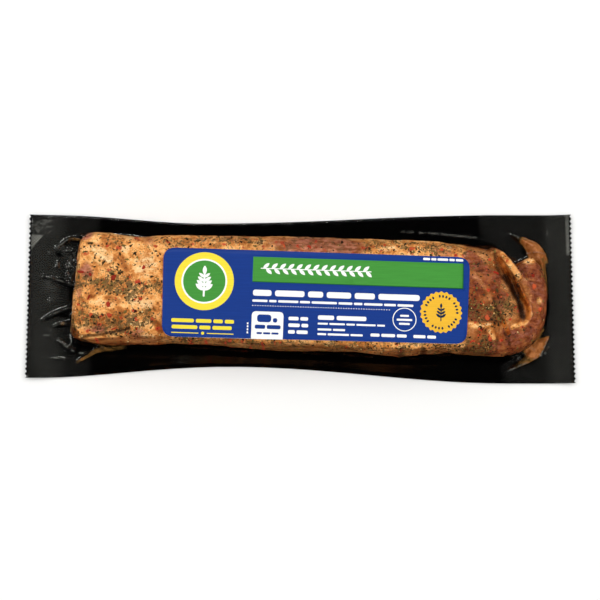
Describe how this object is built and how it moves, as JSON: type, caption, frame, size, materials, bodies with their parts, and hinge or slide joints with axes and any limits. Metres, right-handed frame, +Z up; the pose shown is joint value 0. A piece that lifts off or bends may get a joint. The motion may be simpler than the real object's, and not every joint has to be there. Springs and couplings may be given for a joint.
{
  "type": "vacuum packed raw pork tenderloin",
  "caption": "Raw pork tenderloin with a dry herb rub, sealed under clear film on a flat black backing film, with a printed label on top.",
  "frame": {"origin": "middle of the pack's underside", "axes": "+X along the pack towards the folded tail of the meat, +Y towards the far long edge, +Z up out of the label"},
  "size_m": [0.3328, 0.1044, 0.0311],
  "materials": {
    "backing": "black laminated barrier film, semi-gloss, fine knurl in the seal",
    "film": "clear glossy vacuum film",
    "meat": "raw pork with marinade, herbs, pepper and chilli, wet and glossy under film",
    "label": "printed paper label, blue with a green band, satin"
  },
  "bodies": {
    "root": {"backing_film": "backing", "clear_film": "film", "tenderloin": "meat", "label": "label"}
  },
  "joints": []
}
